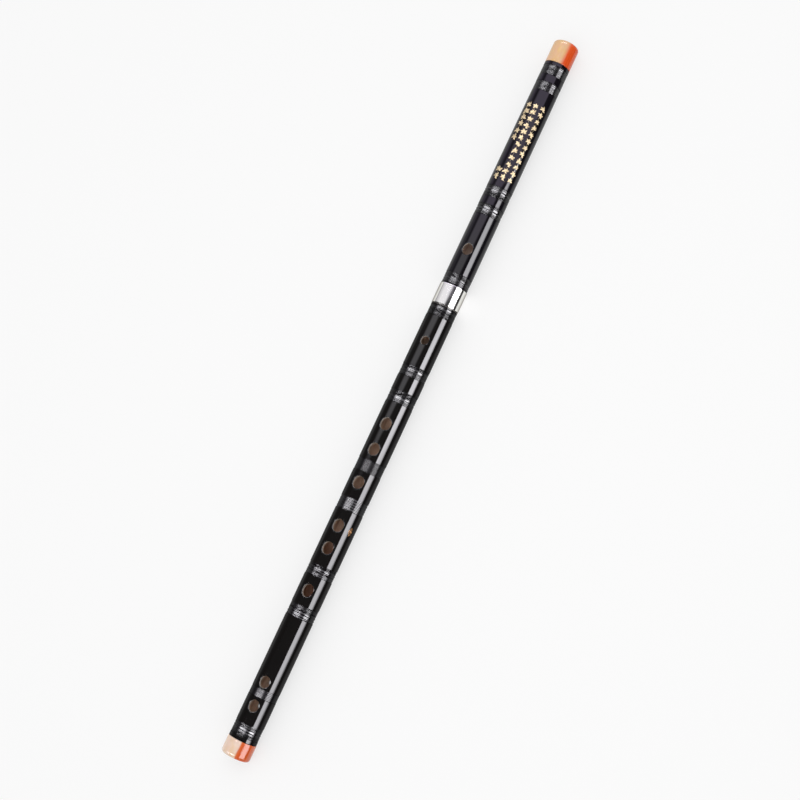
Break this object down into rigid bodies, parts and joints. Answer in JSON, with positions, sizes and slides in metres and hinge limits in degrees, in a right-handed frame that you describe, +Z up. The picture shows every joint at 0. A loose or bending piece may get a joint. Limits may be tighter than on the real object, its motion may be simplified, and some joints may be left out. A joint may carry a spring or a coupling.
{
  "type": "side-blown bamboo flute",
  "caption": "Black-lacquered two-section bamboo flute with thread bindings, resin end caps and a metal joint that slides and turns.",
  "frame": {"origin": "centre of the bounding box's underside, on the surface that the flute lies on, halfway along its length", "axes": "+X along the flute from the foot to the head, +Z up, the way the blow hole and finger holes face"},
  "size_m": [0.5, 0.019, 0.019],
  "materials": {
    "lacquered_bamboo": "gloss",
    "lacquered_thread": "satin",
    "amber_resin": "polished",
    "nickel_silver": "polished",
    "cork": "matte"
  },
  "bodies": {
    "body_section": {"body_tube": "lacquered_bamboo", "foot_cap": "amber_resin", "binding_06": "lacquered_thread", "binding_07": "lacquered_thread", "binding_08": "lacquered_thread", "binding_09": "lacquered_thread", "binding_10": "lacquered_thread", "binding_11": "lacquered_thread", "binding_12": "lacquered_thread", "binding_13": "lacquered_thread", "binding_14": "lacquered_thread"},
    "joint_swivel": {"tenon_tube": "nickel_silver"},
    "head_section": {"head_tube": "lacquered_bamboo", "head_cap": "amber_resin", "joint_ferrule": "nickel_silver", "head_socket_tube": "nickel_silver", "binding_01": "lacquered_thread", "binding_02": "lacquered_thread", "binding_03": "lacquered_thread", "binding_04": "lacquered_thread", "binding_05": "lacquered_thread"},
    "tuning_plug": {"stopper": "cork"}
  },
  "joints": [
    {"name": "head_swivel", "type": "hinge", "parent": "body_section", "child": "joint_swivel", "pos_m": [0.0587, 0, 0.0095], "axis": [1, 0, 0], "continuous": true},
    {"name": "head_slide", "type": "slide", "parent": "joint_swivel", "child": "head_section", "axis": [1, 0, 0], "range_m": [0, 0.03]},
    {"name": "stopper_slide", "type": "slide", "parent": "head_section", "child": "tuning_plug", "axis": [1, 0, 0], "range_m": [-0.003, 0.003]}
  ]
}
